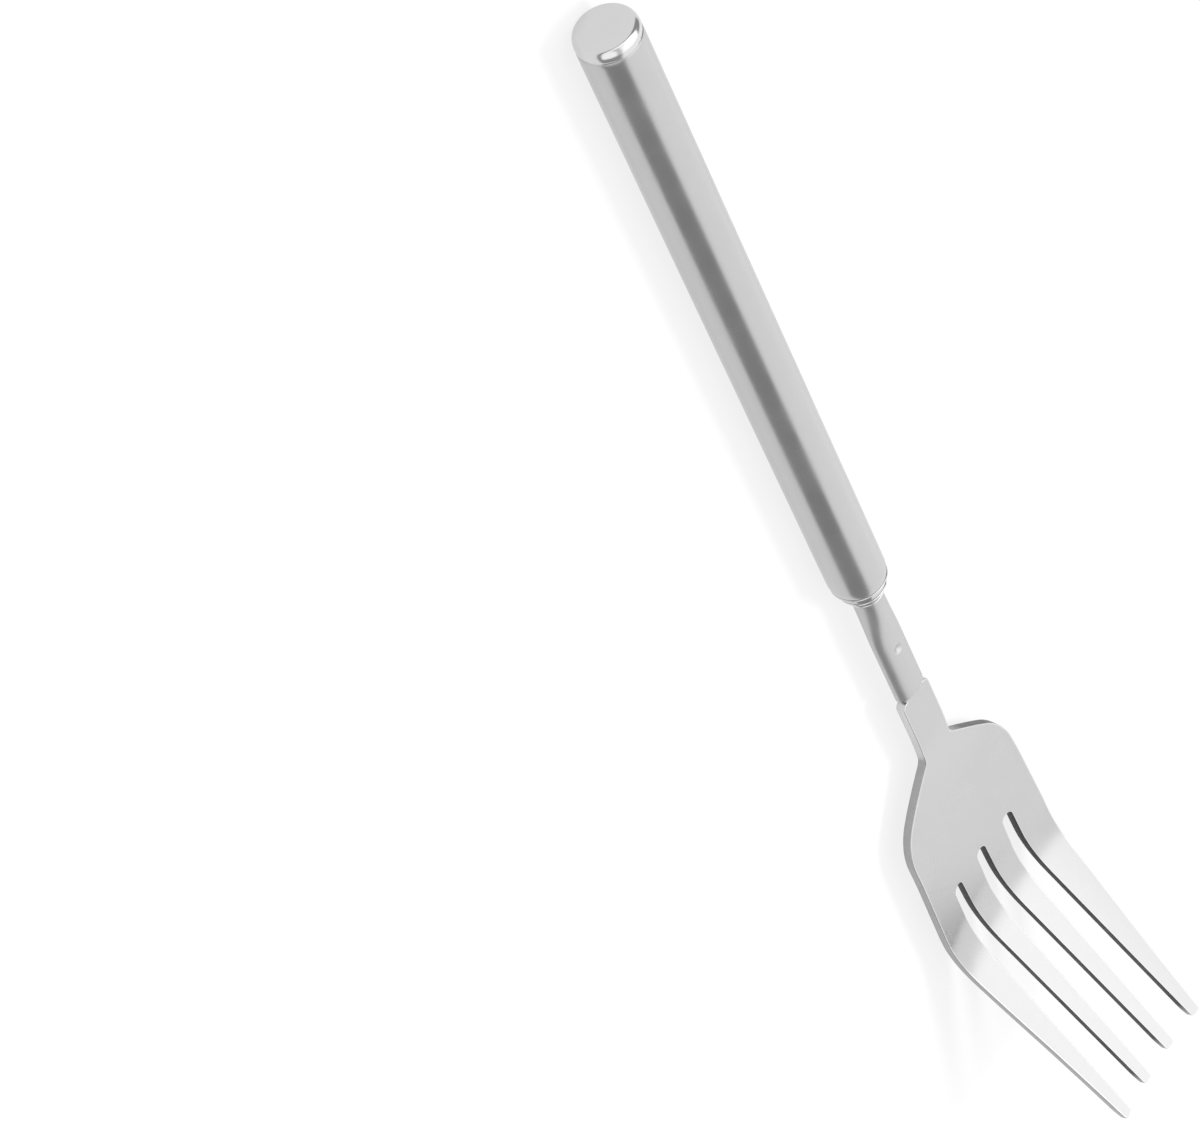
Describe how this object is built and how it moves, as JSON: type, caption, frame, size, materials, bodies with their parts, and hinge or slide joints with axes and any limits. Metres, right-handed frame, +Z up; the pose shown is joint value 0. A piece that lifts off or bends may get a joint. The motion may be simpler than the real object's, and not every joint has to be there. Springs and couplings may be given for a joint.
{
  "type": "marshmallow roasting fork",
  "caption": "Telescoping metal roasting fork with a round tube handle and a stamped fork head whose tines bend up.",
  "frame": {"origin": "middle of the collapsed fork's bounding box, on the surface that the handle tube rests on", "axes": "+X along the tube axis from the end cap to the tines, +Z up, the side to which the tines bend, +Y across the fork"},
  "size_m": [0.2343, 0.0266, 0.0229],
  "materials": {
    "handle_steel": "satin",
    "cap_steel": "polished rim, satin face",
    "section_steel": "bright drawn tube",
    "shaft_steel": "satin",
    "head_steel": "tumbled satin",
    "shim_brass": "spring brass"
  },
  "bodies": {
    "handle": {"handle_tube": "handle_steel", "end_cap": "cap_steel"},
    "shims_1": {"friction_shim_1_upper": "shim_brass", "friction_shim_1_lower": "shim_brass"},
    "section_1": {"section_tube_1": "section_steel"},
    "shims_2": {"friction_shim_2_upper": "shim_brass", "friction_shim_2_lower": "shim_brass"},
    "section_2": {"section_tube_2": "section_steel"},
    "shims_3": {"friction_shim_3_upper": "shim_brass", "friction_shim_3_lower": "shim_brass"},
    "fork": {"fork_shaft": "shaft_steel", "fork_head": "head_steel"}
  },
  "joints": [
    {"name": "section_1_slide", "type": "slide", "parent": "handle", "child": "shims_1", "axis": [1, 0, 0], "range_m": [0, 0.098]},
    {"name": "section_1_twist", "type": "hinge", "parent": "shims_1", "child": "section_1", "pos_m": [0, 0, 0.0042], "axis": [1, 0, 0], "continuous": true},
    {"name": "section_2_slide", "type": "slide", "parent": "section_1", "child": "shims_2", "axis": [1, 0, 0], "range_m": [0, 0.093]},
    {"name": "section_2_twist", "type": "hinge", "parent": "shims_2", "child": "section_2", "pos_m": [0, 0, 0.0042], "axis": [1, 0, 0], "continuous": true},
    {"name": "fork_slide", "type": "slide", "parent": "section_2", "child": "shims_3", "axis": [1, 0, 0], "range_m": [0, 0.087]},
    {"name": "fork_twist", "type": "hinge", "parent": "shims_3", "child": "fork", "pos_m": [0, 0, 0.0042], "axis": [1, 0, 0], "continuous": true}
  ]
}
